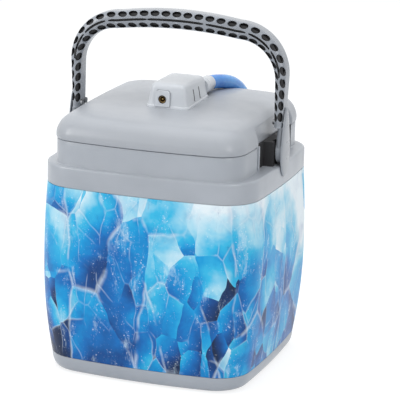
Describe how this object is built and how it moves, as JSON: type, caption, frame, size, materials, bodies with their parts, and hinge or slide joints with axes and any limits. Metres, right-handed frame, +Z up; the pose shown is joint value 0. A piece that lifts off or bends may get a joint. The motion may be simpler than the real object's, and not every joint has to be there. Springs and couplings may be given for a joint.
{
  "type": "hot and cold therapy machine",
  "caption": "Cooler-like cold therapy unit with a lift-off pump lid, a swinging perforated carry handle and a coiled hose with a quick coupler.",
  "frame": {"origin": "on the table under the middle of the body's base", "axes": "+Z up, -Y is the front with the power socket, +X to the right seen from the front"},
  "size_m": [0.2421, 0.4055, 0.3464],
  "materials": {
    "grey_plastic": "satin",
    "pale_plastic": "satin",
    "white_plastic": "satin",
    "black_plastic": "matt",
    "print": "printed, glossy",
    "hose": "glossy",
    "rubber": "matt",
    "foam": "matt cellular foam",
    "filter_foam": "open-cell foam",
    "steel": "plain",
    "brass": "plated",
    "red_wire": "insulated",
    "clear_tube": "milky"
  },
  "bodies": {
    "root": {"base_pan": "grey_plastic", "rubber_feet": "rubber", "base_screws": "steel", "base_foam": "foam", "outer_shell": "pale_plastic", "print_sleeve": "print", "foam_jacket": "foam", "inner_tub": "white_plastic", "collar_ring": "grey_plastic", "hinge_blocks": "black_plastic", "hinge_pins": "steel", "hose_tail": "hose", "hose_coil": "hose", "hose_clip": "black_plastic", "coupler_body": "white_plastic", "coupler_seal": "rubber"},
    "lid": {"lid_cover": "pale_plastic", "lid_liner": "white_plastic", "lid_foam": "foam", "lid_gasket": "rubber", "lid_screws": "steel", "pump_housing": "pale_plastic", "housing_screws": "steel", "jack_plate": "pale_plastic", "jack_body": "black_plastic", "jack_pin": "brass", "hose_gland": "pale_plastic", "pump_tower": "white_plastic", "tower_screws": "steel", "motor_can": "steel", "motor_cap": "black_plastic", "motor_leads": "red_wire", "pump_volute": "white_plastic", "strainer_cup": "grey_plastic", "filter_foam": "filter_foam", "discharge_tube": "clear_tube", "return_tube": "clear_tube", "hose_lead": "hose"},
    "handle": {"handle_shell": "grey_plastic", "handle_core": "black_plastic", "pivot_leaves": "grey_plastic", "leaf_screws": "steel", "pivot_bushes": "white_plastic"},
    "rotor": {"motor_shaft": "steel", "impeller": "black_plastic"},
    "latch": {"coupler_button": "steel"}
  },
  "joints": [
    {"name": "handle_swing", "type": "hinge", "parent": "root", "child": "handle", "pos_m": [0, -0.003, 0.22], "axis": [1, 0, 0], "range_deg": [-10, 90]},
    {"name": "lid_lift", "type": "slide", "parent": "root", "child": "lid", "axis": [0, 0, 1], "range_m": [0, 0.045]},
    {"name": "impeller_spin", "type": "hinge", "parent": "lid", "child": "rotor", "pos_m": [0.004, 0.005, 0.06], "axis": [0, 0, 1], "continuous": true},
    {"name": "coupler_press", "type": "slide", "parent": "root", "child": "latch", "axis": [0, 0, -1], "range_m": [0, 0.0016], "stiffness_N_per_m": 400}
  ]
}
